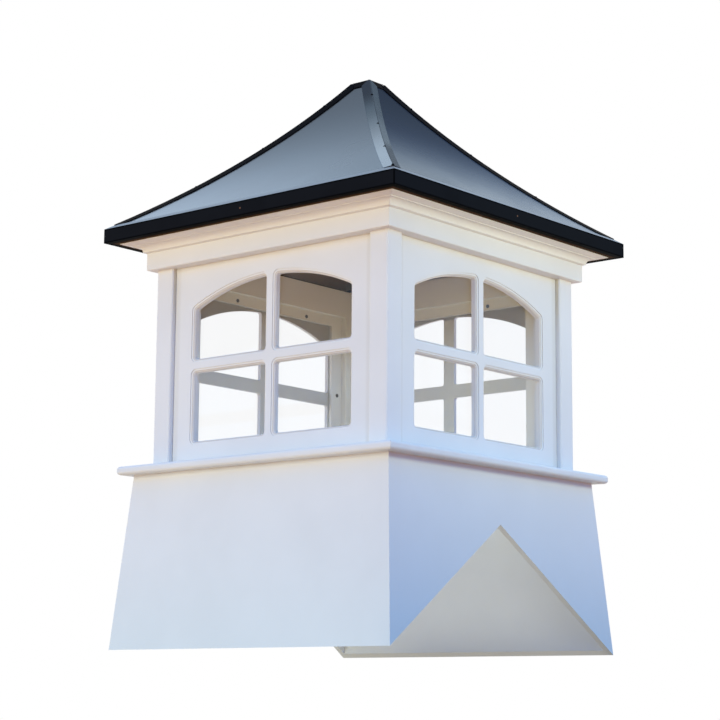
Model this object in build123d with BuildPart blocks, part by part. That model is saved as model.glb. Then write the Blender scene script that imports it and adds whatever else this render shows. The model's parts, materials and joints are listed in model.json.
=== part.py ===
import os
from math import hypot, sqrt

from build123d import *

# A square vinyl cupola for the ridge of a barn or garage roof, in millimetres.
# The origin is the middle of the base at the level of its lowest edges, and +Z is up.
# X runs along the ridge of the roof below, so the front (-Y) and back walls reach down
# the two slopes, and the left and right walls are notched to straddle the ridge.

# Base, a hollow box with leaning walls
base_bottom = 660.0
base_top = 607.0
base_height = 320.0
wall_thickness = 12.0
pitch_rise = 8.0
pitch_run = 12.0

# Sill that caps the base
sill_width = 652.0
sill_thickness = 16.0
sill_nose = 6.0

# Window storey: four rebated corner posts with a panel between each pair
storey_width = 560.0
storey_height = 371.5
post_size = 41.0
post_round = 4.0
post_lap = 16.5
lap_thickness = 12.0
panel_recess = 10.0
panel_thickness = 19.0
fit_gap = 0.5

# Arched window routed through each panel, with four panes
window_width = 390.0
window_bottom_rail = 35.5
window_spring = 293.0
window_arch_rise = 45.0
muntin_height = 182.5
muntin_flat = 12.4
moulding_step = 1.5
moulding_width = 6.75
moulding_round = 5.0
router_radius = 12.0
lip_depth = 12.0
glass_lap = 3.0
glass_thickness = 3.0
glass_gap = 0.4

# Head rail, frieze and crown moulding under the eave
rail_height = 37.0
frieze_thickness = 14.0
frieze_height = 33.0
frieze_round = 2.5
crown_height = 18.0
crown_reach = 36.5
listel_reach = 5.8
listel_height = 2.0
cove_reach = 19.3
cove_height = 13.0
band_quirk = 1.0

# Sheet metal roof
sheet = 1.5
eave_overhang = 21.5
fascia_height = 25.3
fascia_flange = 13.0
fascia_lap = 20.5
roof_height = 303.7
roof_top = 39.0
roof_hollow = 19.5
hip_leaf = 21.0
hip_crease = 2.0
leaf_gap = 0.2
cap_tab = 14.0

# Levels and half widths that follow from the sizes above
sill_level = base_height + sill_thickness
frieze_level = sill_level + storey_height
crown_level = frieze_level + frieze_height
eave_level = crown_level + crown_height
roof_level = eave_level + fascia_height
storey_half = storey_width / 2
inner_half = storey_half - post_size
panel_face = storey_half - panel_recess
frieze_half = storey_half + frieze_thickness
crown_half = frieze_half + crown_reach
eave_half = crown_half + eave_overhang
flange_half = eave_half - fascia_flange
pitch = pitch_rise / pitch_run

# Hollow curve of the roof: an arc from the eave to the top, centred outside and above it
chord_run = eave_half - roof_top / 2
chord = hypot(chord_run, roof_height)
hollow_radius = (chord**2 / 4 + roof_hollow**2) / (2 * roof_hollow)
bulge = hollow_radius - roof_hollow
hollow_centre = (
    -(eave_half + roof_top / 2) / 2 - bulge * roof_height / chord,
    roof_level + roof_height / 2 + bulge * chord_run / chord,
)

turns = {"front": 0, "right": 90, "back": 180, "left": 270}
corners = {"front_right": 0, "back_right": 90, "back_left": 180, "front_left": 270}

os.makedirs("parts", exist_ok=True)


def keep(piece, name):
    """Labels a finished piece and writes it as a node of its own."""
    piece.part.label = name
    export_step(piece.part, f"parts/{name}.step")


def keep_turned(piece, name, places):
    """Writes one copy of a front piece for each of the four sides or corners."""
    for place, turn in places.items():
        with BuildPart() as copy:
            add(piece.part.rotate(Axis.Z, turn))
        keep(copy, f"{name}_{place}")


def mitre():
    """Trims the front piece in the open BuildPart to the quarter between two diagonals."""
    with BuildSketch(Plane.XY) as quarter:
        with BuildLine():
            Polyline((0, 0), (-2 * eave_half, -2 * eave_half), (2 * eave_half, -2 * eave_half), close=True)
        make_face()
    extrude(quarter.sketch, amount=2 * roof_level, mode=Mode.INTERSECT)


def straddle():
    """Cuts the roof below, a ridge along X, out of the open BuildPart."""
    ridge = base_bottom / 2 * pitch
    with BuildSketch(Plane.YZ) as gable:
        with BuildLine():
            Polyline((-base_bottom, ridge - base_bottom * pitch), (0, ridge))
            mirror(about=Plane.YZ)
            Polyline((-base_bottom, ridge - base_bottom * pitch), (base_bottom, ridge - base_bottom * pitch))
        make_face()
    extrude(gable.sketch, amount=base_bottom, both=True, mode=Mode.SUBTRACT)


# Base walls: one leaning board per side, mitred at the corners
with BuildPart() as base_wall:
    with BuildSketch(Plane.YZ):
        with BuildLine():
            lean = (base_bottom - base_top) / 2
            across = wall_thickness * hypot(lean, base_height) / base_height
            Polyline(
                (-base_bottom / 2, 0),
                (-base_bottom / 2 + across, 0),
                (-base_top / 2 + across, base_height),
                (-base_top / 2, base_height),
                close=True,
            )
        make_face()
    extrude(amount=base_bottom / 2, both=True)
    mitre()

for side, turn in turns.items():
    with BuildPart() as wall:
        add(base_wall.part.rotate(Axis.Z, turn))
        straddle()
    keep(wall, f"base_wall_{side}")

# Sill: a flat board with a rounded nose, mitred round the base
with BuildPart() as sill:
    with BuildSketch(Plane.YZ):
        with Locations((-sill_width / 2, base_height)):
            Rectangle(sill_width / 2 - inner_half, sill_thickness, align=(Align.MIN, Align.MIN))
        nose = vertices().group_by(Axis.X)[0]
        fillet(nose, radius=sill_nose)
    extrude(amount=sill_width / 2, both=True)
    mitre()
keep_turned(sill, "sill", turns)

# Corner posts: square, with a leg behind each panel's edge and a seat on top for the head rails
with BuildPart() as corner_post:
    with BuildSketch(Plane.XY.offset(sill_level)):
        with Locations((inner_half, -inner_half)):
            Rectangle(post_size, post_size, align=(Align.MIN, Align.MAX))
            outer = vertices().group_by(Axis.X)[-1] + vertices().group_by(Axis.Y)[0].group_by(Axis.X)[0]
            fillet(outer, radius=post_round)
            Rectangle(post_lap, lap_thickness, align=(Align.MAX, Align.MAX))
            Rectangle(lap_thickness, post_lap, align=(Align.MIN, Align.MIN))
    extrude(amount=storey_height)
    with BuildSketch(Plane.XY.offset(frieze_level)):
        with Locations((inner_half + lap_thickness, -inner_half - lap_thickness)):
            Rectangle(storey_width, storey_width, align=(Align.MAX, Align.MIN))
    extrude(amount=-post_lap, mode=Mode.SUBTRACT)
keep_turned(corner_post, "corner_post", corners)


def pane(side, row, inset):
    """Adds one routed pane to the open sketch, drawn inset from its moulding's edge."""
    half = window_width / 2
    width = half - muntin_flat / 2 - 2 * inset
    middle = side * (half + muntin_flat / 2) / 2
    with BuildSketch(mode=Mode.PRIVATE) as outline:
        if row == "lower":
            foot = window_bottom_rail + inset
            height = muntin_height - muntin_flat / 2 - inset - foot
        else:
            foot = muntin_height + muntin_flat / 2 + inset
            height = storey_height
            radius = (half**2 + window_arch_rise**2) / (2 * window_arch_rise)
            with Locations((0, window_spring + window_arch_rise - radius)):
                Circle(radius - inset)
        with Locations((middle, foot)):
            under_arch = Mode.ADD if row == "lower" else Mode.INTERSECT
            Rectangle(width, height, align=(Align.CENTER, Align.MIN), mode=under_arch)
        fillet(vertices(), radius=router_radius - inset)
    add(outline.sketch)


def panes(inset):
    """Adds the four panes to the open sketch."""
    for side in (-1, 1):
        for row in ("lower", "upper"):
            pane(side, row, inset)


# Window panels: a thick board with a moulded edge round each pane and a pocket behind for glass
front_face = Plane(origin=(0, -panel_face, sill_level), x_dir=(1, 0, 0), z_dir=(0, -1, 0))
pocket_half = window_width / 2 - moulding_width + glass_lap
pocket_bottom = window_bottom_rail + moulding_width - glass_lap
pocket_top = window_spring + window_arch_rise - moulding_width + glass_lap
with BuildPart() as window_panel:
    with BuildSketch(front_face):
        Rectangle(2 * (inner_half - fit_gap), storey_height, align=(Align.CENTER, Align.MIN))
    extrude(amount=-panel_thickness)
    with BuildSketch(front_face):
        panes(0)
    extrude(amount=-moulding_step, mode=Mode.SUBTRACT)
    with BuildSketch(front_face):
        panes(moulding_width)
    extrude(amount=-panel_thickness, mode=Mode.SUBTRACT)
    step_level = moulding_step - panel_face
    steps = faces().filter_by(Axis.Y).filter_by_position(Axis.Y, step_level, step_level)
    fillet([wire.edges() for step in steps for wire in step.inner_wires()], radius=moulding_round)
    with BuildSketch(front_face.offset(-lip_depth)):
        with Locations((0, pocket_bottom)):
            Rectangle(2 * pocket_half, pocket_top - pocket_bottom, align=(Align.CENTER, Align.MIN))
    extrude(amount=lip_depth - panel_thickness, mode=Mode.SUBTRACT)
keep_turned(window_panel, "window_panel", turns)

# Glass: one clear sheet bedded in the pocket behind each panel's bars
with BuildPart() as window_glass:
    with BuildSketch(front_face.offset(-lip_depth)):
        with Locations((0, (pocket_bottom + pocket_top) / 2)):
            Rectangle(2 * (pocket_half - glass_gap), pocket_top - pocket_bottom - 2 * glass_gap)
    extrude(amount=-glass_thickness)
keep_turned(window_glass, "window_glass", turns)

# Head rails: square rails over the posts, with a lip behind the top of each panel
with BuildPart() as head_rail:
    with BuildSketch(Plane.YZ):
        with Locations((-storey_half, frieze_level)):
            Rectangle(post_size, rail_height, align=(Align.MIN, Align.MIN))
        with Locations((-inner_half, frieze_level)):
            Rectangle(lap_thickness, post_lap, align=(Align.MAX, Align.MAX))
    extrude(amount=storey_half, both=True)
    mitre()
keep_turned(head_rail, "head_rail", turns)

# Frieze: a flat board round the head rails
with BuildPart() as frieze:
    with BuildSketch(Plane.YZ):
        with Locations((-frieze_half, frieze_level)):
            Rectangle(frieze_thickness, frieze_height, align=(Align.MIN, Align.MIN))
        fillet(vertices().group_by(Axis.Y)[0].group_by(Axis.X)[0], radius=frieze_round)
    extrude(amount=frieze_half, both=True)
    mitre()
keep_turned(frieze, "frieze", turns)

# Crown: a listel, a cove and a broad shallow band that reaches out under the fascia
with BuildPart() as crown:
    with BuildSketch(Plane.YZ):
        with BuildLine():
            foot = (-frieze_half, crown_level)
            listel = (-frieze_half - listel_reach, crown_level + listel_height)
            cove = (-frieze_half - cove_reach, crown_level + cove_height)
            quirk = (cove[0], cove[1] + band_quirk)
            brow = (-crown_half, eave_level - band_quirk)
            TangentArc(listel, cove, tangent=(0, 1))
            Polyline(cove, quirk, brow, (-crown_half, eave_level), (-storey_half, eave_level))
            Polyline((-storey_half, eave_level), (-storey_half, crown_level), foot, listel)
        make_face()
    extrude(amount=eave_half, both=True)
    mitre()
keep_turned(crown, "crown", turns)


def sheet_curve(inner, outer):
    """Adds to the open YZ sketch the hollow roof's strip between two lifts off its top face."""
    with Locations(hollow_centre):
        Circle(hollow_radius - inner)
        Circle(hollow_radius - outer, mode=Mode.SUBTRACT)


def between(near, far):
    """Trims the open YZ sketch to two distances from the middle and to under the top plate."""
    under_plate = roof_level + roof_height
    with Locations((-near, under_plate)):
        Rectangle(far - near, under_plate, align=(Align.MAX, Align.MAX), mode=Mode.INTERSECT)


# Fascia: a folded strip with a lip lying on the crown and a flange over the roof sheet's edge
with BuildPart() as fascia:
    with BuildSketch(Plane.YZ):
        sheet_curve(0, sheet)
        between(flange_half, eave_half)
        with Locations((-eave_half, eave_level)):
            Rectangle(sheet, fascia_height + sheet, align=(Align.MIN, Align.MIN))
            Rectangle(eave_overhang + fascia_lap, sheet, align=(Align.MIN, Align.MIN))
        with Locations(hollow_centre):
            Circle(hollow_radius - sheet, mode=Mode.SUBTRACT)
    extrude(amount=eave_half, both=True)
    mitre()
keep_turned(fascia, "fascia", turns)

# Roof panels: one hollow-curved sheet per side, mitred along the hips
with BuildPart() as roof_panel:
    with BuildSketch(Plane.YZ):
        sheet_curve(-sheet, 0)
        between(roof_top / 2, eave_half - sheet)
    extrude(amount=eave_half, both=True)
    mitre()
keep_turned(roof_panel, "roof_panel", turns)

# Top cap: a small flat plate with a tab on each side that laps down over the roof sheet
top_level = roof_level + roof_height + sheet
top_rise = hollow_centre[1] - top_level
plate_half = -hollow_centre[0] - sqrt((hollow_radius - sheet) ** 2 - top_rise**2)
with BuildPart() as top_cap:
    with BuildSketch(Plane.YZ):
        sheet_curve(0, sheet)
        with Locations((0, top_level)):
            Rectangle(eave_half, cap_tab, align=(Align.MAX, Align.MAX), mode=Mode.INTERSECT)
    extrude(amount=roof_top, both=True)
    tab = top_cap.part
    for turn in (90, 180, 270):
        add(tab.rotate(Axis.Z, turn))
    with BuildSketch(Plane.XY.offset(top_level)):
        Rectangle(2 * plate_half, 2 * plate_half)
    extrude(amount=-sheet)
    with BuildSketch(Plane.XY.offset(top_level)):
        diagonal = 2 * hypot(plate_half, plate_half)
        Rectangle(diagonal, diagonal, rotation=45)
    extrude(amount=-cap_tab, mode=Mode.INTERSECT)
keep(top_cap, "top_cap")

# Hip caps: a strip folded down each hip, its crease held off the roof sheets and its edges on them
crease_skew = 1 - hip_crease / (hip_leaf + hip_crease)
leaf_points = []
for half in (roof_top / 2, flange_half / 2, flange_half):
    drop = sqrt((hollow_radius - leaf_gap) ** 2 - (half + hollow_centre[0]) ** 2)
    leaf_points.append((-crease_skew * (half + hip_crease), hollow_centre[1] - drop))
leaf_curve = ThreePointArc(*leaf_points)
with BuildPart() as hip_cap:
    with BuildSketch(Plane.YZ):
        with Locations(leaf_curve.arc_center):
            Circle(leaf_curve.radius)
            Circle(leaf_curve.radius - sheet, mode=Mode.SUBTRACT)
        between(0, eave_half)
    extrude(amount=2 * eave_half, dir=(hip_leaf + hip_crease, -hip_crease, 0))
    with BuildSketch(Plane.XY):
        with BuildLine():
            near = plate_half + fit_gap
            Polyline(
                (near, -near),
                (flange_half, -flange_half),
                (flange_half - hip_leaf, -flange_half),
                (near - hip_leaf / 2, -near - hip_leaf / 2),
                close=True,
            )
        make_face()
    extrude(amount=top_level, mode=Mode.INTERSECT)
    mirror(about=Plane(origin=(0, 0, 0), z_dir=(1, 1, 0)))
keep_turned(hip_cap, "hip_cap", corners)
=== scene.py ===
import json
from math import cos, pi, radians, sin

import bmesh
import bpy
from bpy.props import FloatProperty, FloatVectorProperty, IntProperty, PointerProperty
from mathutils import Matrix, Vector

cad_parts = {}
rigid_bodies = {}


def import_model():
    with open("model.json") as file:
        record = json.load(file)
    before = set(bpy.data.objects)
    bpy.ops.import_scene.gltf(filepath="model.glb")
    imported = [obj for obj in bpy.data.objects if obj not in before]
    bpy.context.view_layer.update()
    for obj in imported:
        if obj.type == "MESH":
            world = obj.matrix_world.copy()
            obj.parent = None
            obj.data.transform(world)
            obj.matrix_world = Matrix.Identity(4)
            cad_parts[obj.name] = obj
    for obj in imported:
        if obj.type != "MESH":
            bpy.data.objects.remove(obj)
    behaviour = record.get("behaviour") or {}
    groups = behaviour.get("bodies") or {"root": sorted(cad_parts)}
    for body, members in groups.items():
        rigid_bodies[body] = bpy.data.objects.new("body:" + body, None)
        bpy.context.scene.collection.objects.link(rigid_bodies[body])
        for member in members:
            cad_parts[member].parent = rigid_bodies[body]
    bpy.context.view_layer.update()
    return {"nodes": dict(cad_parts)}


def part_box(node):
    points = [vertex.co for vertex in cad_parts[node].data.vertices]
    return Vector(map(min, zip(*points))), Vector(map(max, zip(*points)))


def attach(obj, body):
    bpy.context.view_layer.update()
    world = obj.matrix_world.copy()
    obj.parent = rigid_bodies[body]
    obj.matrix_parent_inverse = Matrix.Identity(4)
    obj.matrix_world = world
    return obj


bl_info = {
    "name": "Barn Cupola Finish",
    "version": (1, 0, 0),
    "blender": (4, 5, 0),
    "location": "View3D > Sidebar > Cupola",
    "description": "Finishes, rivets, screws, lights and camera for a square cupola with a hollow-curved metal roof",
    "category": "Object",
}

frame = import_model()


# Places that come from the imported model

def node_box(name):
    """Lowest and highest corners of one node."""
    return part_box(name)


fascia_foot = node_box("fascia_front")[0].z
panel_foot = node_box("window_panel_front")[0].z
panel_inner = -node_box("window_panel_front")[1].y
panel_outer = -node_box("window_panel_front")[0].y
panel_half = node_box("window_panel_front")[1].x
frieze_foot = node_box("frieze_front")[0].z
cap_end = node_box("hip_cap_front_right")[1].x

# Rivets of a hip cap, by their distance from the middle along X, and how far off the diagonal its crease may lie

# The front-right and back-left caps carry a painted sky reflection, the others are plain black
sheen_cap_rivets = (0.0595, 0.1465, 0.2365, 0.3355)
dark_cap_rivets = (0.0595, 0.142, 0.231)
crease_slack = 1e-4

# Screws of a window panel, by their place across it and above its foot
# The upper two sit off centre on the left panel only, and the panels come in the order front, right, back, left

upper_screws = ((-0.101, 0.342), (0.101, 0.342))
lower_screws = ((-0.209, 0.192), (0.209, 0.192))
upper_drifts = (0.0, 0.0, 0.0, -0.011)

# Details drawn in the finishes: depths behind a panel's outer face, of the painted shade lines in its moulding and of
# the ledge behind which painted warm shade may start, and the height of the rivet marks above the fascia's foot

bead_depths = (0.0007, 0.0021, 0.0036, 0.0054)
ledge_depth = 0.0125
fascia_rivet_rise = 0.014

# Colours of dark mitres and rivet marks, of painted shade lines and painted warm shade, and plain black and white

mitre_line = (0.1, 0.09, 0.085)
# painted shade: the lines at the steps of a panel's moulding
painted_bead_shade = (0.52, 0.42, 0.33)
# painted shade: the dark line beside each post and under the frieze, and the shade towards the posts
painted_joint_shade = (0.35, 0.28, 0.21)
fascia_rivet = (0.16, 0.09, 0.06)
# painted warm shade on the fascia's underside
fascia_underside_shade = (0.06, 0.033, 0.018)
black_void = (0.0, 0.0, 0.0)
white = (1.0, 1.0, 1.0)

# Stage: half of the floor's width, its drop below the object, what the large lamps face and how large they are

floor_half = 40.0
floor_drop = 0.001
windows_middle = (0, 0, 0.7)
large_lamp = (2.2, 2.2)


# Settings that a user may change

class CupolaFastenerSettings(bpy.types.PropertyGroup):
    rivet_diameter: FloatProperty(
        name="Rivet Head", description="Diameter of a roof rivet's head",
        default=0.005, min=0.002, unit="LENGTH"
    )
    rivet_height: FloatProperty(
        name="Rivet Height", description="Height of a roof rivet's head",
        default=0.0023, min=0.0005, unit="LENGTH"
    )
    screw_diameter: FloatProperty(
        name="Screw Head", description="Diameter of a screw head inside the windows",
        default=0.0075, min=0.002, unit="LENGTH"
    )
    screw_height: FloatProperty(
        name="Screw Height", description="Height of a screw head inside the windows",
        default=0.0022, min=0.0005, unit="LENGTH"
    )
    round_steps: IntProperty(
        name="Round Steps", description="Faces round each head", default=20, min=8, max=64
    )


class CupolaFinishSettings(bpy.types.PropertyGroup):
    vinyl: FloatVectorProperty(
        name="Vinyl", description="Colour of the vinyl boards",
        default=(0.80, 0.80, 0.80), size=3, subtype="COLOR"
    )
    # painted warm shade of the faces that look inwards high up, not the boards' own colour
    inner_warm_shade: FloatVectorProperty(
        name="Bare Boards", description="Colour of the boards' bare backs above the windows",
        default=(0.69, 0.65, 0.54), size=3, subtype="COLOR"
    )
    # painted sky reflection: the roof's colour runs from the eave's colour to the top's colour as a reflection would,
    # and the fascia's flange takes the eave's colour too
    roof_eave_reflection: FloatVectorProperty(
        name="Roof at the Eave", description="Colour of the roof metal near the eave",
        default=(0.265, 0.285, 0.325), size=3, subtype="COLOR"
    )
    roof_top_reflection: FloatVectorProperty(
        name="Roof at the Top", description="Colour of the roof metal near the top",
        default=(0.078, 0.077, 0.087), size=3, subtype="COLOR"
    )
    # the blue of this sheen tint stands in for the sky in the reflection
    roof_sheen: FloatVectorProperty(
        name="Roof Sheen", description="Tint of the roof metal's sheen at a slant",
        default=(0.68, 0.835, 1.0), size=3, subtype="COLOR"
    )
    # painted sky reflection: the pale colour of the front-right and back-left caps near the eave
    sheen_cap_foot: FloatVectorProperty(
        name="Pale Hip Cap", description="Colour of a pale hip cap near the eave",
        default=(0.375, 0.41, 0.45), size=3, subtype="COLOR"
    )
    underside: FloatVectorProperty(
        name="Roof Underside", description="Colour of the roof sheets' dull underside",
        default=(0.8, 0.67, 0.53), size=3, subtype="COLOR"
    )
    black: FloatVectorProperty(
        name="Black Coat", description="Colour of the fascia, the dark hip caps and the top cap",
        default=(0.0035, 0.004, 0.005), size=3, subtype="COLOR"
    )
    glass: FloatVectorProperty(
        name="Glass", description="Tint of the window glass",
        default=(0.75, 0.85, 0.95), size=3, subtype="COLOR"
    )
    # painted sky reflection on the left and right windows
    side_glass_reflection: FloatVectorProperty(
        name="Side Glass", description="Tint of the glass on the left and right",
        default=(0.35, 0.6, 0.95), size=3, subtype="COLOR"
    )
    screws: FloatProperty(
        name="Screws", description="Brightness of the screw heads inside the windows",
        default=0.12, min=0, max=1, subtype="FACTOR"
    )


class CupolaStageSettings(bpy.types.PropertyGroup):
    lens: FloatProperty(
        name="Lens", description="Focal length in millimetres", default=98.95, min=10, unit="CAMERA"
    )
    azimuth: FloatProperty(
        name="Azimuth", description="Turn of the camera to the right of the front",
        default=radians(40.01), subtype="ANGLE"
    )
    rise: FloatProperty(
        name="Rise", description="Upward look of the camera", default=radians(9.82), subtype="ANGLE"
    )
    roll: FloatProperty(
        name="Roll", description="Roll of the camera", default=radians(0.457), subtype="ANGLE"
    )
    place: FloatVectorProperty(
        name="Place", description="Place of the camera",
        default=(2.3599, -2.8288, -0.0907), size=3, subtype="TRANSLATION"
    )
    sky: FloatVectorProperty(
        name="Sky", description="Colour of the soft light from above",
        default=(0.12, 0.42, 1.13), size=3, subtype="COLOR"
    )
    near_bounce: FloatVectorProperty(
        name="Near Bounce", description="Light that the floor sheds from under the object",
        default=(0.43, 0.415, 0.37), size=3, subtype="COLOR"
    )
    inner_bounce: FloatVectorProperty(
        name="Inner Bounce", description="Light that the floor sheds inside the object",
        default=(1.25, 1.3, 1.2), size=3, subtype="COLOR"
    )
    far_bounce: FloatVectorProperty(
        name="Far Bounce", description="Light that the floor sheds from all round",
        default=(0.57, 0.275, 0.195), size=3, subtype="COLOR"
    )
    floor: FloatVectorProperty(
        name="Floor", description="Colour of the floor itself",
        default=(0.9, 0.8, 0.55), size=3, subtype="COLOR"
    )
    glow: FloatVectorProperty(
        name="Glow", description="Colour that keeps the floor pale",
        default=(0.3, 0.2, 0.1), size=3, subtype="COLOR"
    )
    front_colour: FloatVectorProperty(
        name="Front Colour", description="Colour of the front lamp",
        default=(0.94, 0.89, 0.47), size=3, subtype="COLOR"
    )
    front_power: FloatProperty(
        name="Front", description="Power of the front lamp", default=81.0, min=0, unit="POWER"
    )
    right_colour: FloatVectorProperty(
        name="Right Colour", description="Colour of the right lamp",
        default=(0.86, 1.0, 0.7), size=3, subtype="COLOR"
    )
    right_power: FloatProperty(
        name="Right", description="Power of the right lamp", default=4.2, min=0, unit="POWER"
    )
    back_colour: FloatVectorProperty(
        name="Back Colour", description="Colour of the lamps behind and on the left",
        default=(0.96, 0.9, 0.55), size=3, subtype="COLOR"
    )
    back_power: FloatProperty(
        name="Back", description="Power of each lamp behind and on the left",
        default=66.0, min=0, unit="POWER"
    )


# Shader maths

class Shade:
    """Wraps a socket of one node tree, so that values are added, subtracted and multiplied like numbers."""

    def __init__(self, tree, socket=None):
        self.tree = tree
        self.socket = socket

    def node(self, kind, settings=None, sockets=None, output=0):
        """Adds a node, sets its settings and then its sockets, and returns one of its outputs."""
        made = self.tree.nodes.new(kind)
        for name, value in (settings or {}).items():
            setattr(made, name, value)
        for name, value in (sockets or {}).items():
            self.feed(made.inputs[name], value)
        return Shade(self.tree, made.outputs[output])

    def feed(self, target, value):
        """Sets a socket to a value, or links it."""
        if isinstance(value, Shade):
            self.tree.links.new(value.socket, target)
        else:
            target.default_value = value

    def maths(self, operation, first, second):
        """Works on two numbers."""
        return self.node("ShaderNodeMath", {"operation": operation}, {0: first, 1: second})

    def __add__(self, other):
        return self.maths("ADD", self, other)

    def __radd__(self, other):
        return self.maths("ADD", other, self)

    def __sub__(self, other):
        return self.maths("SUBTRACT", self, other)

    def __rsub__(self, other):
        return self.maths("SUBTRACT", other, self)

    def __mul__(self, other):
        return self.maths("MULTIPLY", self, other)

    def __rmul__(self, other):
        return self.maths("MULTIPLY", other, self)

    def __abs__(self):
        return self.maths("ABSOLUTE", self, 0.0)

    def larger(self, other):
        """The larger of two numbers."""
        return self.maths("MAXIMUM", self, other)

    def smaller(self, other):
        """The smaller of two numbers."""
        return self.maths("MINIMUM", self, other)

    def smooth(self, low, high):
        """Rises smoothly from 0 at one value to 1 at another."""
        return self.node(
            "ShaderNodeMapRange", {"interpolation_type": "SMOOTHSTEP"},
            {"Value": self, "From Min": low, "From Max": high, "To Min": 0.0, "To Max": 1.0},
        )

    def blend(self, first, second):
        """Mixes two colours by this number."""
        return self.node("ShaderNodeMix", {"data_type": "RGBA"}, {0: self, 6: first, 7: second}, 2)

    def bump(self, strength, distance):
        """Turns this height into a direction of the surface."""
        return self.node(
            "ShaderNodeBump", None, {"Strength": strength, "Distance": distance, "Height": self}, "Normal"
        )

    def stain(self, amount):
        """Multiplies this colour by a number."""
        return self.node("ShaderNodeVectorMath", {"operation": "SCALE"}, {0: self, "Scale": amount})

    def length(self):
        """How far this point is from the origin."""
        return self.node("ShaderNodeVectorMath", {"operation": "LENGTH"}, {0: self}, "Value")

    def noise(self, scale, detail=2.0):
        """Soft noise at this point."""
        return self.node("ShaderNodeTexNoise", None, {"Vector": self, "Scale": scale, "Detail": detail}, "Fac")

    def parts(self):
        """This vector's three numbers."""
        first = self.node("ShaderNodeSeparateXYZ", None, {0: self})
        return [Shade(self.tree, output) for output in first.socket.node.outputs]


def object_place(shade):
    """Object coordinates."""
    return shade.node("ShaderNodeTexCoord", output="Object")


def outward(shade):
    """The three numbers of the direction that a face looks in."""
    return shade.node("ShaderNodeNewGeometry", output="Normal").parts()


def bare_rays(shade):
    """1 for a ray from the camera, a reflection or glass, and 0 for the light that falls on the object."""
    camera, glossy, through = (
        shade.node("ShaderNodeLightPath", output=name)
        for name in ("Is Camera Ray", "Is Glossy Ray", "Is Transmission Ray")
    )
    return (camera + glossy + through).smaller(1.0)


def opaque(colour, share=1.0):
    """A colour, or a share of it, with full alpha as the sockets want it."""
    return (*(share * channel for channel in colour), 1.0)


def finish(name, **constants):
    """Makes a material with its constants on the surface shader's own sockets."""
    material = bpy.data.materials.new(name)
    material.use_nodes = True
    surface = material.node_tree.nodes["Principled BSDF"]
    for socket, value in constants.items():
        surface.inputs[socket.replace("_", " ")].default_value = value
    return material, Shade(material.node_tree), surface.inputs


def coat(material, items):
    """Gives a material to nodes or pieces."""
    for item in items:
        item.data.materials.clear()
        item.data.materials.append(material)


def nodes_of(*starts):
    """The nodes whose names start with one of these words."""
    return [item for name, item in sorted(frame["nodes"].items()) if name.startswith(starts)]


# Finishes

def vinyl_finish(name, colour, bare, seam, beads=()):
    """White vinyl with a fine orange peel and dark mitres, and painted warm shade on what faces inwards up high. A
    panel has painted shade lines at its moulding's steps and at its edges beside the posts and under the frieze.
    """
    material, shade, surface = finish(name, Specular_IOR_Level=0.4)
    place = object_place(shade)
    x, y, z = place.parts()
    reach = abs(x).larger(abs(y))
    cloud = place.noise(7.0, 3.0).smooth(0.3, 0.7)
    mitre = abs(abs(x) - abs(y)).smooth(0.0003, 0.001)
    tone = cloud.blend(opaque(colour, 0.975), opaque(colour, 1.015))
    tone = (seam * (1 - mitre)).blend(tone, opaque(mitre_line))
    # painted shade lines where the moulding steps back
    for depth in beads:
        line = 1 - abs(reach - (panel_outer - depth)).smooth(0.00015, 0.0005)
        tone = (0.65 * line).blend(tone, opaque(painted_bead_shade))
    # painted shade: a dark line beside each post and under the frieze, and a wider painted shade that darkens the
    # panel towards the posts
    if beads:
        across = abs(x).smaller(abs(y))
        beside_post = across.smooth(panel_half - 0.0014, panel_half)
        below_frieze = z.smooth(frieze_foot - 0.0016, frieze_foot)
        dust_and_shade = across.smooth(panel_half - 0.016, panel_half - 0.009)
        tone = (0.4 * beside_post.larger(below_frieze) + 0.12 * dust_and_shade).blend(tone, opaque(painted_joint_shade))
    # painted warm shade on the inner faces up high, in the colour given as bare
    shade.feed(surface["Base Color"], painted_inner_shade(shade, (x, y, z)).blend(tone, opaque(bare)))
    shade.feed(surface["Roughness"], 0.36 + 0.12 * cloud)
    peel = place.noise(420.0) * 0.35 + place.noise(36.0, 1.0)
    shade.feed(surface["Normal"], peel.bump(0.25, 0.0006))
    return material


def painted_inner_shade(shade, place):
    """Painted warm shade: 1 on what looks inwards or lies deep in the wall, above the windows' middle, and 0
    elsewhere.
    """
    x, y, z = place
    out_x, out_y, _ = outward(shade)
    inward = (0 - (out_x * x + out_y * y)).smooth(0.2, 0.22)
    deep = panel_outer - ledge_depth
    behind = 1 - abs(x).larger(abs(y)).smooth(deep - 0.0002, deep + 0.0002)
    high = z.smooth(panel_foot + 0.24, panel_foot + 0.34)
    return inward.larger(behind) * high


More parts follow.
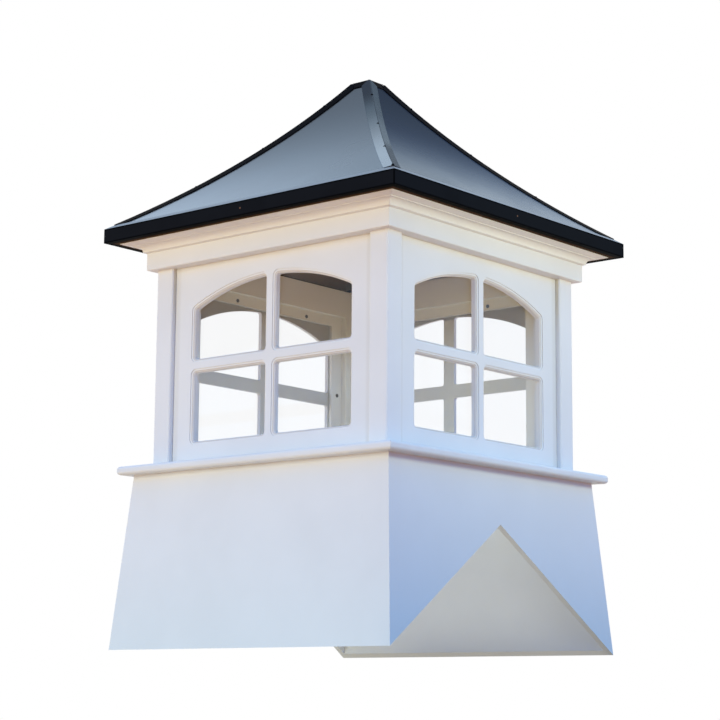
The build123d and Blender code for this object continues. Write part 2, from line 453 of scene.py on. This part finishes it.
def sheet_finish(name, foot, head, sheen, under, tone, thin, full):
    """Satin metal sheet with a painted sky reflection: lighter near the eave, darker and duller towards the top,
    lighter towards one hip, with a blue-tinted sheen at a slant and a plain underside. Its tone dims the whole sheet
    for a painted shaded copy.
    """
    material, shade, surface = finish(name, Metallic=full, Specular_IOR_Level=0.0, Specular_Tint=opaque(sheen))
    place = object_place(shade)
    x, y, _ = place.parts()
    reach = abs(x).larger(abs(y))
    cloud = place.noise(6.0, 3.0).smooth(0.25, 0.75)
    # painted shade: each sheet lighter towards one hip and darker towards the other, with a random waver in tone
    shade_and_tone = 1 + 5 * x * y + 0.12 * (cloud - 0.5)
    # painted sky reflection: lighter near the eave, darker at the top
    even = reach.smooth(0.05, 0.36).blend(opaque(head, tone), opaque(foot, tone))
    below = (0 - outward(shade)[2]).smooth(0.05, 0.15)
    shade.feed(surface["Base Color"], below.blend(even.stain(shade_and_tone), opaque(under)))
    shade.feed(surface["Metallic"], (1 - below) * (thin + (full - thin) * reach.smooth(0.12, 0.34)))
    shade.feed(surface["Roughness"], 0.2 + 0.08 * cloud)
    shade.feed(surface["Normal"], place.noise(5.0, 1.0).bump(0.15, 0.004))
    return material


def sheen_cap_finish(foot, head, sheen):
    """Folded metal with a painted sky reflection: the leaf on the front or back is painted pale, lighter towards the
    eave, and the leaf on the side is painted dull, with a painted shadow along the fold and painted shade at the
    cap's foot.
    """
    material, shade, surface = finish("hip_cap_painted_sheen", Specular_IOR_Level=0.0, Specular_Tint=opaque(sheen))
    place = object_place(shade)
    x, y, _ = place.parts()
    across = abs(x) - abs(y)
    reach = abs(x).larger(abs(y))
    side = across.smooth(0.0, 0.0006)
    # painted shadow along the fold, and painted shade at the cap's foot
    fold = across.smooth(0.0006, 0.0012) * (1 - across.smooth(0.0028, 0.0036))
    end = reach.smooth(cap_end - 0.003, cap_end - 0.0012)
    pale = reach.smooth(0.07, 0.28).blend(opaque(head, 0.45), opaque(foot))
    dark = opaque(head, 0.35)
    shade.feed(surface["Base Color"], end.blend(side.blend(pale, dark), dark))
    bright = 0.35 + 0.65 * reach.smooth(0.05, 0.1)
    dull = (0.62 + 0.25 * reach.smooth(0.1, 0.18) - 0.36 * reach.smooth(0.2, 0.25)) * (1 - 0.45 * fold)
    shade.feed(surface["Metallic"], (bright + side * (dull - bright)) * (1 - 0.85 * end))
    shade.feed(surface["Roughness"], 0.22 + 0.1 * place.noise(18.0))
    return material


def fascia_finish(black, flange, sheen):
    """Black on the upright face, with darker hems, mitres and rivets, painted warm shade on its underside, and the
    sheets' painted eave reflection on the flange on top.
    """
    material, shade, surface = finish("black_fascia", Specular_IOR_Level=0.001, Specular_Tint=opaque(sheen))
    place = object_place(shade)
    x, y, z = place.parts()
    up = outward(shade)[2]
    reach = abs(x).larger(abs(y))
    along = abs(x).smaller(abs(y))
    rise = z - fascia_foot
    cloud = place.noise(12.0)
    hem = rise.smooth(0.001, 0.004) * (1 - rise.smooth(0.023, 0.026))
    mitre = abs(abs(x) - abs(y)).smooth(0.0015, 0.003)
    face = (hem * mitre * (0.6 + 0.8 * cloud)).blend(opaque(black, 0.8), opaque(black, 2.8))
    over = rise - fascia_rivet_rise
    rivet = 1 - shade.maths("POWER", along * along + over * over, 0.5).smooth(0.0012, 0.0022)
    # painted warm shade on the underside, inside the hem
    under = (0 - up).smooth(0.3, 0.6) * (1 - reach.smooth(0.336, 0.343))
    lined = under.blend(rivet.blend(face, opaque(fascia_rivet)), opaque(fascia_underside_shade))
    # the flange takes the roof's eave colour, a painted sky reflection
    on_top = up.smooth(0.35, 0.45)
    shade.feed(surface["Base Color"], on_top.blend(lined, opaque(flange)))
    shade.feed(surface["Metallic"], on_top * 0.85)
    shade.feed(surface["Roughness"], 0.25 + 0.15 * cloud)
    return material


def black_finish(name, black):
    """Black coat with a faint waver."""
    material, shade, surface = finish(name, Specular_IOR_Level=0.004)
    cloud = object_place(shade).noise(14.0)
    shade.feed(surface["Base Color"], cloud.blend(opaque(black, 0.6), opaque(black, 2.2)))
    shade.feed(surface["Roughness"], 0.3 + 0.15 * cloud)
    return material


def glass_finish(tint, side_reflection_tint):
    """Clear flat glass with a trace of dust: its mirror's share grows at a slant, and on the sides it is larger and
    painted bluer, a painted sky reflection.
    """
    material, shade, surface = finish("clear_glazing", Metallic=1.0)
    place = object_place(shade)
    x, y, _ = place.parts()
    facing = shade.node("ShaderNodeLayerWeight", None, {"Blend": 0.25}, "Facing")
    dust_and_shade = place.noise(11.0, 4.0).smooth(0.45, 0.8)
    side = (abs(x) - abs(y)).smooth(0.0, 0.01)
    shade.feed(surface["Base Color"], side.blend(opaque(tint), opaque(side_reflection_tint)))
    shade.feed(surface["Roughness"], 0.02 + 0.1 * dust_and_shade)
    shade.feed(surface["Alpha"], 0.008 + 0.06 * facing + 0.006 * dust_and_shade + 0.015 * side)
    return material


def steel_finish(name, tone):
    """Small zinc screw heads with a dull grain."""
    material, shade, surface = finish(name, Metallic=0.7)
    grain = object_place(shade).noise(900.0)
    grey = (tone, tone, tone)
    shade.feed(surface["Base Color"], grain.blend(opaque(grey, 0.8), opaque(grey, 1.2)))
    shade.feed(surface["Roughness"], 0.4 + 0.2 * grain)
    return material


def floor_finish(stage):
    """Pale under the object, white far off and clear from below. The light that it sheds has other colours."""
    material, shade, surface = finish("floor", Roughness=0.9, Specular_IOR_Level=0.1, Emission_Strength=1.0)
    seen = bare_rays(shade)
    place = object_place(shade)
    x, y, _ = place.parts()
    distance = place.length()
    away = distance.smooth(0.7, 2.4)
    shade.feed(surface["Base Color"], (seen * (1 - away)).blend(opaque(black_void), opaque(stage.floor)))
    inner = 1 - abs(x).larger(abs(y)).smooth(0.2, 0.24)
    near = inner.blend(opaque(stage.near_bounce), opaque(stage.inner_bounce))
    far = distance.smooth(0.78, 0.82)
    beside = x.smooth(0.3, 0.36) * (1 - x.smooth(0.75, 0.95)) * (1 - abs(y).smooth(0.35, 0.6))
    bounce = far.blend(near, opaque(stage.far_bounce)).stain(1 - 0.72 * beside)
    pale = away.blend(opaque(stage.glow), opaque(white))
    shade.feed(surface["Emission Color"], seen.blend(bounce, pale))
    nodes = material.node_tree.nodes
    below = shade.node("ShaderNodeNewGeometry", output="Backfacing")
    solid = Shade(shade.tree, nodes["Principled BSDF"].outputs[0])
    clear = shade.node("ShaderNodeBsdfTransparent")
    mixed = shade.node("ShaderNodeMixShader", None, {0: below, 1: solid, 2: clear})
    shade.feed(nodes["Material Output"].inputs["Surface"], mixed)
    return material


# Small pieces

def lathe(mesh, outline, steps):
    """Spins an outline of radii and heights round Z into a closed head."""
    ring = [mesh.verts.new((radius, 0.0, height)) for radius, height in outline]
    edges = [mesh.edges.new(pair) for pair in zip(ring, ring[1:])]
    bmesh.ops.spin(
        mesh, geom=ring + edges, cent=(0, 0, 0), axis=(0, 0, 1), dvec=(0, 0, 0),
        angle=2 * pi, steps=steps, use_merge=True, use_normal_flip=False, use_duplicate=False,
    )
    bmesh.ops.remove_doubles(mesh, verts=mesh.verts, dist=1e-6)
    bmesh.ops.recalc_face_normals(mesh, faces=mesh.faces)


def heads(name, outline, places, steps):
    """Makes one piece of many small heads, each set at a point along its own axis."""
    whole = bmesh.new()
    for point, axis in places:
        one = bmesh.new()
        lathe(one, outline, steps)
        turn = Vector((0, 0, 1)).rotation_difference(axis.normalized()).to_matrix().to_4x4()
        bmesh.ops.transform(one, matrix=Matrix.Translation(point) @ turn, verts=one.verts)
        scrap = bpy.data.meshes.new("head")
        one.to_mesh(scrap)
        one.free()
        whole.from_mesh(scrap)
        bpy.data.meshes.remove(scrap)
    mesh = bpy.data.meshes.new(name)
    whole.to_mesh(mesh)
    whole.free()
    for face in mesh.polygons:
        face.use_smooth = True
    piece = bpy.data.objects.new(name, mesh)
    bpy.context.scene.collection.objects.link(piece)
    return piece


def crease_line(corner):
    """Distances from the middle and heights along the top of a hip cap's crease."""
    crease = {}
    for vertex in frame["nodes"][f"hip_cap_{corner}"].data.vertices:
        if abs(abs(vertex.co.x) - abs(vertex.co.y)) < crease_slack:
            reach = round(abs(vertex.co.x), 5)
            crease[reach] = max(crease.get(reach, 0.0), vertex.co.z)
    ordered = sorted(crease.items())
    line = ordered[:1]
    for reach, height in ordered[1:]:
        if height < line[-1][1]:
            line.append((reach, height))
    return line


def crease_points(corner, reaches):
    """Points on a hip cap's crease at given distances from the middle, with the crease's outward directions."""
    side = Vector((1 if "right" in corner else -1, -1 if "front" in corner else 1, 0))
    line = crease_line(corner)
    found = []
    for reach in reaches:
        for (near, high), (far, low) in zip(line, line[1:]):
            if near <= reach <= far:
                share = (reach - near) / (far - near)
                slope = (high - low) / (far - near)
                point = side * reach + Vector((0, 0, high + (low - high) * share))
                found.append((point, Vector((side.x * slope / 2, side.y * slope / 2, 1.0))))
                break
    return found


class CUPOLA_OT_hip_rivets(bpy.types.Operator):
    """Sets the rivets along the crease of each hip cap"""

    bl_idname = "cupola.hip_rivets"
    bl_label = "Hip Rivets"

    def execute(self, context):
        kit = context.scene.cupola_fasteners
        half = kit.rivet_diameter / 2
        tall = kit.rivet_height
        outline = [
            (0, -tall), (half, -tall), (half, 0.15 * tall), (0.86 * half, 0.6 * tall),
            (0.55 * half, 0.96 * tall), (0.4 * half, tall), (0.36 * half, 0.5 * tall), (0, 0.5 * tall),
        ]
        for corner in ("front_right", "back_right", "back_left", "front_left"):
            reaches = sheen_cap_rivets if corner in ("front_right", "back_left") else dark_cap_rivets
            piece = heads(f"hip_rivets_{corner}", outline, crease_points(corner, reaches), kit.round_steps)
            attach(piece, "root")
        return {"FINISHED"}


class CUPOLA_OT_panel_screws(bpy.types.Operator):
    """Sets the screw heads on the inner face of each window panel"""

    bl_idname = "cupola.panel_screws"
    bl_label = "Panel Screws"

    def execute(self, context):
        kit = context.scene.cupola_fasteners
        half = kit.screw_diameter / 2
        tall = kit.screw_height
        outline = [
            (0, -tall), (half, -tall), (half, 0.2 * tall), (0.8 * half, 0.75 * tall),
            (0.45 * half, tall), (0.35 * half, 0.4 * tall), (0, 0.3 * tall),
        ]
        places = []
        for turn, drift in enumerate(upper_drifts):
            across = Matrix.Rotation(turn * pi / 2, 3, "Z")
            spots = [(side + drift, height) for side, height in upper_screws]
            for side, height in (*spots, *lower_screws):
                point = Vector((side, -panel_inner, panel_foot + height))
                places.append((across @ point, across @ Vector((0, 1, 0))))
        piece = heads("panel_screws", outline, places, kit.round_steps)
        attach(piece, "root")
        return {"FINISHED"}


class CUPOLA_OT_finishes(bpy.types.Operator):
    """Gives every node and piece its finish"""

    bl_idname = "cupola.finishes"
    bl_label = "Finishes"

    def execute(self, context):
        tones = context.scene.cupola_finish
        # the second colour is the painted warm shade inside
        vinyl = tones.vinyl, tones.inner_warm_shade
        metal = tones.roof_eave_reflection, tones.roof_top_reflection, tones.roof_sheen, tones.underside
        rivets = [item for item in bpy.data.objects if item.name.startswith("hip_rivets")]
        sheen_caps = nodes_of("hip_cap_front_right", "hip_cap_back_left")
        dark_caps = nodes_of("hip_cap_front_left", "hip_cap_back_right", "top_cap")
        coat(vinyl_finish("white_vinyl", *vinyl, 0.0), nodes_of("base_wall", "corner_post", "head_rail"))
        coat(vinyl_finish("white_moulded_panel", *vinyl, 0.0, bead_depths), nodes_of("window_panel"))
        coat(vinyl_finish("white_mitred_trim", *vinyl, 0.15), nodes_of("sill", "frieze", "crown"))
        # the left and right sheets are a painted shaded copy, dimmer and with less sheen
        coat(sheet_finish("roof_sheet", *metal, 1.0, 1.0, 1.0), nodes_of("roof_panel_front", "roof_panel_back"))
        coat(
            sheet_finish("roof_sheet_shaded_side", *metal, 0.5, 0.18, 0.88),
            nodes_of("roof_panel_left", "roof_panel_right")
        )
        # the front-right and back-left caps get the painted sky reflection
        coat(sheen_cap_finish(tones.sheen_cap_foot, tones.roof_top_reflection, tones.roof_sheen), sheen_caps)
        coat(black_finish("hip_cap_dark", tones.black), dark_caps)
        coat(black_finish("rivet_black", tones.black), rivets)
        coat(fascia_finish(tones.black, tones.roof_eave_reflection, tones.roof_sheen), nodes_of("fascia"))
        coat(glass_finish(tones.glass, tones.side_glass_reflection), nodes_of("window_glass"))
        coat(steel_finish("panel_screws", tones.screws), [bpy.data.objects["panel_screws"]])
        return {"FINISHED"}


class CUPOLA_OT_stage(bpy.types.Operator):
    """Sets up the floor, the lights, the world and the camera"""

    bl_idname = "cupola.stage"
    bl_label = "Stage"

    def execute(self, context):
        stage = context.scene.cupola_stage
        context.scene.view_settings.view_transform = "Standard"
        self.floor(stage)
        self.world(context.scene, stage)
        front = stage.front_power, stage.front_colour
        right = stage.right_power, stage.right_colour
        back = stage.back_power, stage.back_colour
        self.lamp("front_lamp", (-0.6, -3.4, 0.6), windows_middle, large_lamp, *front)
        self.lamp("right_lamp", (1.0, 0.1, 0.7), (0.3, 0.1, 0.68), (1.2, 0.25), *right)
        self.lamp("back_lamp", (-0.9, 3.4, 0.6), windows_middle, large_lamp, *back)
        self.lamp("left_lamp", (-3.4, 0.9, 0.6), windows_middle, large_lamp, *back)
        self.camera(context.scene, stage)
        return {"FINISHED"}

    def floor(self, stage):
        """A wide pale floor that shows from above only."""
        mesh = bmesh.new()
        bmesh.ops.create_grid(mesh, x_segments=1, y_segments=1, size=floor_half)
        bmesh.ops.translate(mesh, verts=mesh.verts, vec=(0, 0, -floor_drop))
        data = bpy.data.meshes.new("floor")
        mesh.to_mesh(data)
        mesh.free()
        floor = bpy.data.objects.new("floor", data)
        bpy.context.scene.collection.objects.link(floor)
        data.materials.append(floor_finish(stage))

    def world(self, scene, stage):
        """White behind the object and in its reflections, and a soft sky light on it."""
        world = bpy.data.worlds.new("studio")
        world.use_nodes = True
        scene.world = world
        tree = world.node_tree
        tree.nodes.clear()
        shade = Shade(tree)
        soft = shade.node("ShaderNodeBackground", None, {0: opaque(stage.sky), 1: 1.0})
        bare = shade.node("ShaderNodeBackground", None, {0: opaque(white), 1: 1.0})
        mixed = shade.node("ShaderNodeMixShader", None, {0: bare_rays(shade), 1: soft, 2: bare})
        shade.feed(tree.nodes.new("ShaderNodeOutputWorld").inputs[0], mixed)

    def lamp(self, name, place, target, size, power, colour):
        """A soft light of a width and height that faces a point, seen neither by the camera nor in reflections."""
        light = bpy.data.lights.new(name, "AREA")
        light.shape = "RECTANGLE"
        light.size, light.size_y = size
        light.energy = power
        light.color = colour
        item = bpy.data.objects.new(name, light)
        item.location = place
        item.visible_camera = False
        item.visible_glossy = False
        item.rotation_euler = (Vector(target) - Vector(place)).to_track_quat("-Z", "Y").to_euler()
        bpy.context.scene.collection.objects.link(item)

    def camera(self, scene, stage):
        """The camera at the photograph's viewing angle."""
        lens = bpy.data.cameras.new("camera")
        lens.lens = stage.lens
        lens.sensor_width = 36.0
        item = bpy.data.objects.new("camera", lens)
        turn, rise, roll = stage.azimuth, stage.rise, stage.roll
        ahead = Vector((-sin(turn) * cos(rise), cos(turn) * cos(rise), sin(rise)))
        right = Vector((cos(turn), sin(turn), 0.0))
        over = right.cross(ahead)
        right, over = cos(roll) * right + sin(roll) * over, cos(roll) * over - sin(roll) * right
        view = Matrix((right, over, -ahead)).transposed().to_4x4()
        item.matrix_world = Matrix.Translation(stage.place) @ view
        scene.collection.objects.link(item)
        scene.camera = item


class CUPOLA_PT_panel(bpy.types.Panel):
    """Lists the cupola's settings and steps"""

    bl_idname = "CUPOLA_PT_panel"
    bl_label = "Cupola"
    bl_space_type = "VIEW_3D"
    bl_region_type = "UI"
    bl_category = "Cupola"

    def draw(self, context):
        for group in (context.scene.cupola_fasteners, context.scene.cupola_finish, context.scene.cupola_stage):
            box = self.layout.box()
            for name in group.__annotations__:
                box.prop(group, name)
        for step in steps:
            self.layout.operator(step.bl_idname)


steps = (
    CUPOLA_OT_hip_rivets,
    CUPOLA_OT_panel_screws,
    CUPOLA_OT_finishes,
    CUPOLA_OT_stage,
)
groups = (CupolaFastenerSettings, CupolaFinishSettings, CupolaStageSettings)


def register():
    for item in (*groups, *steps, CUPOLA_PT_panel):
        bpy.utils.register_class(item)
    bpy.types.Scene.cupola_fasteners = PointerProperty(type=CupolaFastenerSettings)
    bpy.types.Scene.cupola_finish = PointerProperty(type=CupolaFinishSettings)
    bpy.types.Scene.cupola_stage = PointerProperty(type=CupolaStageSettings)


def unregister():
    del bpy.types.Scene.cupola_fasteners
    del bpy.types.Scene.cupola_finish
    del bpy.types.Scene.cupola_stage
    for item in reversed((*groups, *steps, CUPOLA_PT_panel)):
        bpy.utils.unregister_class(item)


def main():
    register()
    bpy.ops.cupola.hip_rivets()
    bpy.ops.cupola.panel_screws()
    bpy.ops.cupola.finishes()
    bpy.ops.cupola.stage()


if __name__ == "__main__":
    main()
